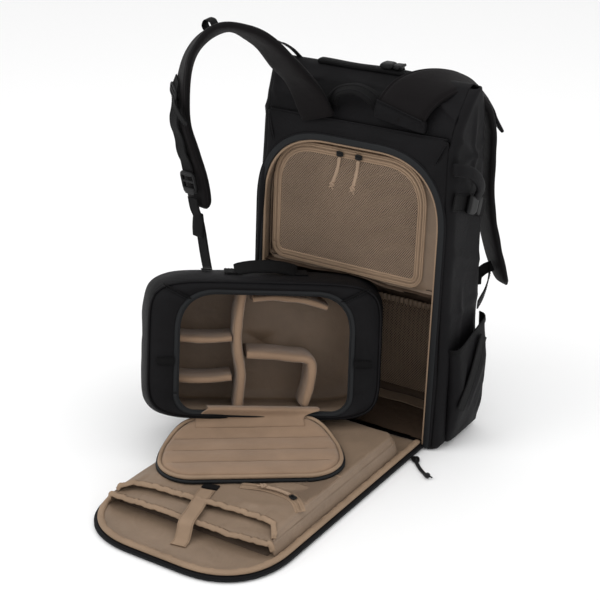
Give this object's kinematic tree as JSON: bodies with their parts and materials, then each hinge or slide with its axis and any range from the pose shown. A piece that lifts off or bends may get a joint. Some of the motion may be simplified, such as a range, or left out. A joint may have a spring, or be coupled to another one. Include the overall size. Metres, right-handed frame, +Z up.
{
  "type": "camera backpack",
  "caption": "Roll-top camera backpack standing open, its zipped back panel laid flat with a padded, divided camera pod standing on it and shoulder straps raised.",
  "frame": {"origin": "on the floor, at the centre of the bag's base", "axes": "+Z up, +Y from the unzipped back panel towards the front of the bag, +X to the right of someone facing the opening"},
  "size_m": [0.4724, 0.6428, 0.6095],
  "materials": {
    "nylon": "matte black coated nylon",
    "webbing": "woven black webbing",
    "zip": "black coated zip tape",
    "lining": "tan nylon taffeta",
    "padding": "tan brushed padding",
    "mesh": "tan mesh",
    "cord": "braided tan cord",
    "black_cord": "braided black cord",
    "hardware": "black moulded acetal"
  },
  "bodies": {
    "root": {"body_shell": "nylon", "body_lining": "lining", "opening_zip_tape": "zip", "upper_compartment": "lining", "mesh_panel": "mesh", "compartment_zip_band": "lining", "compartment_slider_left": "hardware", "compartment_cord_left": "cord", "compartment_knot_left": "cord", "compartment_slider_right": "hardware", "compartment_cord_right": "cord", "compartment_knot_right": "cord", "mesh_pocket": "mesh", "floor_strip": "lining", "roll_hem": "nylon", "roll_buckle": "hardware", "roll_strap": "webbing", "grab_handle": "webbing", "door_panel": "nylon", "door_lining": "lining", "door_zip_slider": "hardware", "door_zip_cord": "black_cord", "door_zip_knot": "black_cord", "laptop_sleeve": "lining", "tablet_pocket": "lining", "sleeve_zip_tape": "lining", "sleeve_zip_slider": "hardware", "sleeve_zip_cord": "cord", "sleeve_zip_knot": "cord", "retaining_strap": "lining", "blank_tab": "webbing", "pod_shell": "nylon", "pod_lining": "lining", "divider_main": "padding", "shelf_upper": "padding", "shelf_lower": "padding", "divider_corner": "padding", "divider_flap": "padding", "pod_handle": "webbing", "pod_zip_slider": "hardware", "pod_tab_left": "webbing", "pod_tab_right": "webbing", "pod_lid": "nylon", "pod_lid_pad": "padding", "strap_left_pad": "nylon", "strap_left_daisy": "webbing", "strap_left_buckle": "hardware", "strap_left_slider": "hardware", "strap_left_crest_loop": "webbing", "strap_left_tail": "webbing", "strap_left_webbing": "webbing", "strap_left_keeper": "webbing", "load_lifter": "webbing", "strap_right_pad": "nylon", "strap_right_webbing": "webbing", "side_strap": "webbing", "side_buckle": "hardware", "side_pocket": "nylon", "side_pocket_strap": "webbing"}
  },
  "joints": []
}
